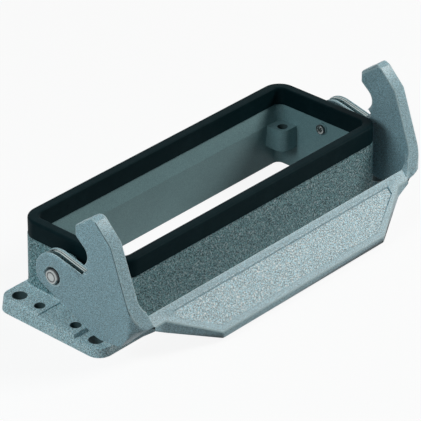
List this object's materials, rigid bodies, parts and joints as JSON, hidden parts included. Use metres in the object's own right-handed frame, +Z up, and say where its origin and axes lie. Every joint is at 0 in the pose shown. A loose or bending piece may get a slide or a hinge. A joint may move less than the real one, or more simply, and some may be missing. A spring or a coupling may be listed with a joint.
{
  "type": "heavy duty rectangular connector housing",
  "caption": "Low bulkhead-mounting housing of a heavy duty rectangular connector, open through, with a rim gasket and one long locking lever shown open.",
  "frame": {"origin": "centre of the mounting face, midway between the four fixing holes, z 0 on the face", "axes": "+X along the long side, +Y away from the lever's finger plate, +Z up out of the panel towards the mating hood"},
  "size_m": [0.139, 0.0631, 0.0452],
  "materials": {
    "coated_casting": "powder coated die casting, fine grain",
    "coated_lever": "powder coated die casting, fine grain",
    "rim_rubber": "satin black rubber",
    "panel_rubber": "satin black rubber",
    "pin_steel": "bright stainless steel",
    "spring_steel": "bright stainless spring steel"
  },
  "bodies": {
    "housing_body": {"housing": "coated_casting", "rim_gasket": "rim_rubber", "panel_gasket": "panel_rubber", "pivot_pin_left": "pin_steel", "pivot_pin_right": "pin_steel"},
    "lever_body": {"locking_lever": "coated_lever", "spring_leaf_left_1": "spring_steel", "spring_leaf_left_2": "spring_steel", "spring_leaf_right_1": "spring_steel", "spring_leaf_right_2": "spring_steel"}
  },
  "joints": [
    {"name": "lever_pivot", "type": "hinge", "parent": "housing_body", "child": "lever_body", "pos_m": [0, 0, 0.019], "axis": [-1, 0, 0], "range_deg": [0, 50]}
  ]
}
